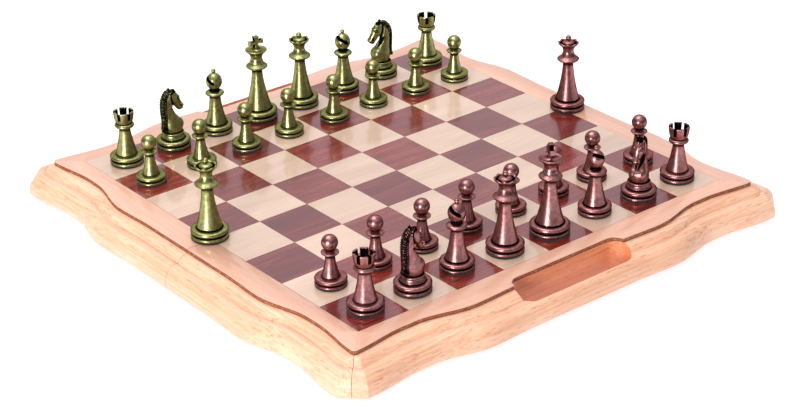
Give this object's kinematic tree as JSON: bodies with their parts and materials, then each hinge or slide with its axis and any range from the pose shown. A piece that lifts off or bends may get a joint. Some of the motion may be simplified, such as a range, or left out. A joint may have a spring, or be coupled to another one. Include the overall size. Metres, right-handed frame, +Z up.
{
  "type": "chess set with board",
  "caption": "Folding wooden chess board with wavy moulded rails and finger slots, set out with turned antique brass and copper chess men.",
  "frame": {"origin": "middle of the open board, at the level of the table", "axes": "+Z up; -Y towards the copper side, whose rail has a finger slot; +X to that player's right; the fold line is the X axis"},
  "size_m": [0.3998, 0.3998, 0.092],
  "materials": {
    "rail_wood": "satin lacquer",
    "fibreboard": "raw edge",
    "border_veneer": "gloss lacquer",
    "light_veneer": "gloss lacquer",
    "dark_veneer": "gloss lacquer",
    "hinge_steel": "brass plated",
    "magnet_steel": "nickel plated",
    "felt": "felt",
    "antique_brass": "antiqued, polished on the high parts",
    "antique_copper": "antiqued, polished on the high parts"
  },
  "bodies": {
    "root": {"front_handle_rail": "rail_wood", "front_left_rail": "rail_wood", "front_right_rail": "rail_wood", "front_seam_wall": "rail_wood", "front_panel": "fibreboard", "front_border": "border_veneer", "front_light_squares": "light_veneer", "front_dark_squares": "dark_veneer", "front_magnets": "magnet_steel", "front_hinge_leaves": "hinge_steel", "front_hinge_screws": "hinge_steel", "front_pads": "felt", "hinge_pins": "hinge_steel"},
    "back_board": {"back_handle_rail": "rail_wood", "back_left_rail": "rail_wood", "back_right_rail": "rail_wood", "back_seam_wall": "rail_wood", "back_panel": "fibreboard", "back_border": "border_veneer", "back_light_squares": "light_veneer", "back_dark_squares": "dark_veneer", "back_magnets": "magnet_steel", "back_hinge_leaves": "hinge_steel", "back_hinge_screws": "hinge_steel", "back_pads": "felt"},
    "copper_rook_a": {"copper_rook_a": "antique_copper"},
    "copper_knight_b": {"copper_knight_b": "antique_copper"},
    "copper_bishop_c": {"copper_bishop_c": "antique_copper"},
    "copper_bishop_f": {"copper_bishop_f": "antique_copper"},
    "copper_knight_g": {"copper_knight_g": "antique_copper"},
    "copper_rook_h": {"copper_rook_h": "antique_copper"},
    "copper_king": {"copper_king": "antique_copper"},
    "copper_queen": {"copper_queen": "antique_copper"},
    "copper_spare_queen": {"copper_spare_queen": "antique_copper"},
    "copper_pawn_a": {"copper_pawn_a": "antique_copper"},
    "copper_pawn_b": {"copper_pawn_b": "antique_copper"},
    "copper_pawn_c": {"copper_pawn_c": "antique_copper"},
    "copper_pawn_d": {"copper_pawn_d": "antique_copper"},
    "copper_pawn_e": {"copper_pawn_e": "antique_copper"},
    "copper_pawn_f": {"copper_pawn_f": "antique_copper"},
    "copper_pawn_g": {"copper_pawn_g": "antique_copper"},
    "copper_pawn_h": {"copper_pawn_h": "antique_copper"},
    "brass_rook_a": {"brass_rook_a": "antique_brass"},
    "brass_knight_b": {"brass_knight_b": "antique_brass"},
    "brass_bishop_c": {"brass_bishop_c": "antique_brass"},
    "brass_bishop_f": {"brass_bishop_f": "antique_brass"},
    "brass_knight_g": {"brass_knight_g": "antique_brass"},
    "brass_rook_h": {"brass_rook_h": "antique_brass"},
    "brass_king": {"brass_king": "antique_brass"},
    "brass_queen": {"brass_queen": "antique_brass"},
    "brass_spare_queen": {"brass_spare_queen": "antique_brass"},
    "brass_pawn_a": {"brass_pawn_a": "antique_brass"},
    "brass_pawn_b": {"brass_pawn_b": "antique_brass"},
    "brass_pawn_c": {"brass_pawn_c": "antique_brass"},
    "brass_pawn_d": {"brass_pawn_d": "antique_brass"},
    "brass_pawn_e": {"brass_pawn_e": "antique_brass"},
    "brass_pawn_f": {"brass_pawn_f": "antique_brass"},
    "brass_pawn_g": {"brass_pawn_g": "antique_brass"},
    "brass_pawn_h": {"brass_pawn_h": "antique_brass"}
  },
  "joints": [
    {"name": "fold", "type": "hinge", "parent": "root", "child": "back_board", "pos_m": [0, 0, 0.0015], "axis": [-1, 0, 0], "range_deg": [0, 179.3]},
    {"name": "copper_rook_a_lift", "type": "slide", "parent": "root", "child": "copper_rook_a", "axis": [0, 0, 1], "range_m": [0, 0.1]},
    {"name": "copper_knight_b_lift", "type": "slide", "parent": "root", "child": "copper_knight_b", "axis": [0, 0, 1], "range_m": [0, 0.1]},
    {"name": "copper_bishop_c_lift", "type": "slide", "parent": "root", "child": "copper_bishop_c", "axis": [0, 0, 1], "range_m": [0, 0.1]},
    {"name": "copper_bishop_f_lift", "type": "slide", "parent": "root", "child": "copper_bishop_f", "axis": [0, 0, 1], "range_m": [0, 0.1]},
    {"name": "copper_knight_g_lift", "type": "slide", "parent": "root", "child": "copper_knight_g", "axis": [0, 0, 1], "range_m": [0, 0.1]},
    {"name": "copper_rook_h_lift", "type": "slide", "parent": "root", "child": "copper_rook_h", "axis": [0, 0, 1], "range_m": [0, 0.1]},
    {"name": "copper_king_lift", "type": "slide", "parent": "root", "child": "copper_king", "axis": [0, 0, 1], "range_m": [0, 0.1]},
    {"name": "copper_queen_lift", "type": "slide", "parent": "root", "child": "copper_queen", "axis": [0, 0, 1], "range_m": [0, 0.1]},
    {"name": "copper_spare_queen_lift", "type": "slide", "parent": "root", "child": "copper_spare_queen", "axis": [0, 0, 1], "range_m": [0, 0.1]},
    {"name": "copper_pawn_a_lift", "type": "slide", "parent": "root", "child": "copper_pawn_a", "axis": [0, 0, 1], "range_m": [0, 0.1]},
    {"name": "copper_pawn_b_lift", "type": "slide", "parent": "root", "child": "copper_pawn_b", "axis": [0, 0, 1], "range_m": [0, 0.1]},
    {"name": "copper_pawn_c_lift", "type": "slide", "parent": "root", "child": "copper_pawn_c", "axis": [0, 0, 1], "range_m": [0, 0.1]},
    {"name": "copper_pawn_d_lift", "type": "slide", "parent": "root", "child": "copper_pawn_d", "axis": [0, 0, 1], "range_m": [0, 0.1]},
    {"name": "copper_pawn_e_lift", "type": "slide", "parent": "root", "child": "copper_pawn_e", "axis": [0, 0, 1], "range_m": [0, 0.1]},
    {"name": "copper_pawn_f_lift", "type": "slide", "parent": "root", "child": "copper_pawn_f", "axis": [0, 0, 1], "range_m": [0, 0.1]},
    {"name": "copper_pawn_g_lift", "type": "slide", "parent": "root", "child": "copper_pawn_g", "axis": [0, 0, 1], "range_m": [0, 0.1]},
    {"name": "copper_pawn_h_lift", "type": "slide", "parent": "root", "child": "copper_pawn_h", "axis": [0, 0, 1], "range_m": [0, 0.1]},
    {"name": "brass_rook_a_lift", "type": "slide", "parent": "back_board", "child": "brass_rook_a", "axis": [0, 0, 1], "range_m": [0, 0.1]},
    {"name": "brass_knight_b_lift", "type": "slide", "parent": "back_board", "child": "brass_knight_b", "axis": [0, 0, 1], "range_m": [0, 0.1]},
    {"name": "brass_bishop_c_lift", "type": "slide", "parent": "back_board", "child": "brass_bishop_c", "axis": [0, 0, 1], "range_m": [0, 0.1]},
    {"name": "brass_bishop_f_lift", "type": "slide", "parent": "back_board", "child": "brass_bishop_f", "axis": [0, 0, 1], "range_m": [0, 0.1]},
    {"name": "brass_knight_g_lift", "type": "slide", "parent": "back_board", "child": "brass_knight_g", "axis": [0, 0, 1], "range_m": [0, 0.1]},
    {"name": "brass_rook_h_lift", "type": "slide", "parent": "back_board", "child": "brass_rook_h", "axis": [0, 0, 1], "range_m": [0, 0.1]},
    {"name": "brass_king_lift", "type": "slide", "parent": "back_board", "child": "brass_king", "axis": [0, 0, 1], "range_m": [0, 0.1]},
    {"name": "brass_queen_lift", "type": "slide", "parent": "back_board", "child": "brass_queen", "axis": [0, 0, 1], "range_m": [0, 0.1]},
    {"name": "brass_spare_queen_lift", "type": "slide", "parent": "root", "child": "brass_spare_queen", "axis": [0, 0, 1], "range_m": [0, 0.1]},
    {"name": "brass_pawn_a_lift", "type": "slide", "parent": "back_board", "child": "brass_pawn_a", "axis": [0, 0, 1], "range_m": [0, 0.1]},
    {"name": "brass_pawn_b_lift", "type": "slide", "parent": "back_board", "child": "brass_pawn_b", "axis": [0, 0, 1], "range_m": [0, 0.1]},
    {"name": "brass_pawn_c_lift", "type": "slide", "parent": "back_board", "child": "brass_pawn_c", "axis": [0, 0, 1], "range_m": [0, 0.1]},
    {"name": "brass_pawn_d_lift", "type": "slide", "parent": "back_board", "child": "brass_pawn_d", "axis": [0, 0, 1], "range_m": [0, 0.1]},
    {"name": "brass_pawn_e_lift", "type": "slide", "parent": "back_board", "child": "brass_pawn_e", "axis": [0, 0, 1], "range_m": [0, 0.1]},
    {"name": "brass_pawn_f_lift", "type": "slide", "parent": "back_board", "child": "brass_pawn_f", "axis": [0, 0, 1], "range_m": [0, 0.1]},
    {"name": "brass_pawn_g_lift", "type": "slide", "parent": "back_board", "child": "brass_pawn_g", "axis": [0, 0, 1], "range_m": [0, 0.1]},
    {"name": "brass_pawn_h_lift", "type": "slide", "parent": "back_board", "child": "brass_pawn_h", "axis": [0, 0, 1], "range_m": [0, 0.1]}
  ]
}
